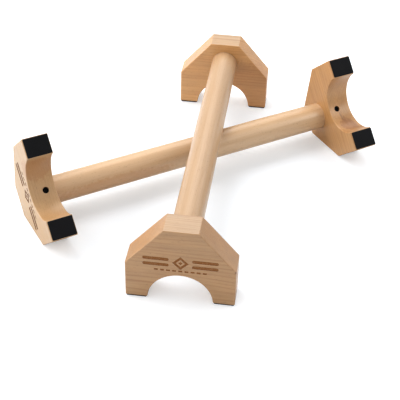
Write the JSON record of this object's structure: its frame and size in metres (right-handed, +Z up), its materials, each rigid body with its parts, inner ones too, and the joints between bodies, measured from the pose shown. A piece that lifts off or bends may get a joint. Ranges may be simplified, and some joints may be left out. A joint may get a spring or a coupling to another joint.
{
  "type": "parallel bars",
  "caption": "Pair of low wooden parallettes with arched end blocks and rubber foot pads, one standing and one lying crossed beneath it.",
  "frame": {"origin": "on the floor, at the centre of the pair's bounding box", "axes": "+Z up; +Y along the standing upper bar, from its front end to its rear end; +X to the right seen from the front end"},
  "size_m": [0.4851, 0.5, 0.1361],
  "materials": {
    "block_wood": "sanded beech, clear satin lacquer",
    "dowel_wood": "turned beech, sanded smooth",
    "pad_rubber": "matt, fine textured",
    "black_steel": "black oxide"
  },
  "bodies": {
    "lower_bar": {"lower_dowel": "dowel_wood", "lower_left_block": "block_wood", "lower_left_screw": "black_steel", "lower_left_raised_pad": "pad_rubber", "lower_left_floor_pad": "pad_rubber", "lower_right_block": "block_wood", "lower_right_screw": "black_steel", "lower_right_raised_pad": "pad_rubber", "lower_right_floor_pad": "pad_rubber"},
    "upper_bar": {"upper_dowel": "dowel_wood", "upper_front_block": "block_wood", "upper_front_screw": "black_steel", "upper_front_left_pad": "pad_rubber", "upper_front_right_pad": "pad_rubber", "upper_rear_block": "block_wood", "upper_rear_screw": "black_steel", "upper_rear_left_pad": "pad_rubber", "upper_rear_right_pad": "pad_rubber"}
  },
  "joints": [
    {"name": "upper_bar_lift", "type": "slide", "parent": "lower_bar", "child": "upper_bar", "axis": [0, 0, 1], "range_m": [0, 0.25]}
  ]
}
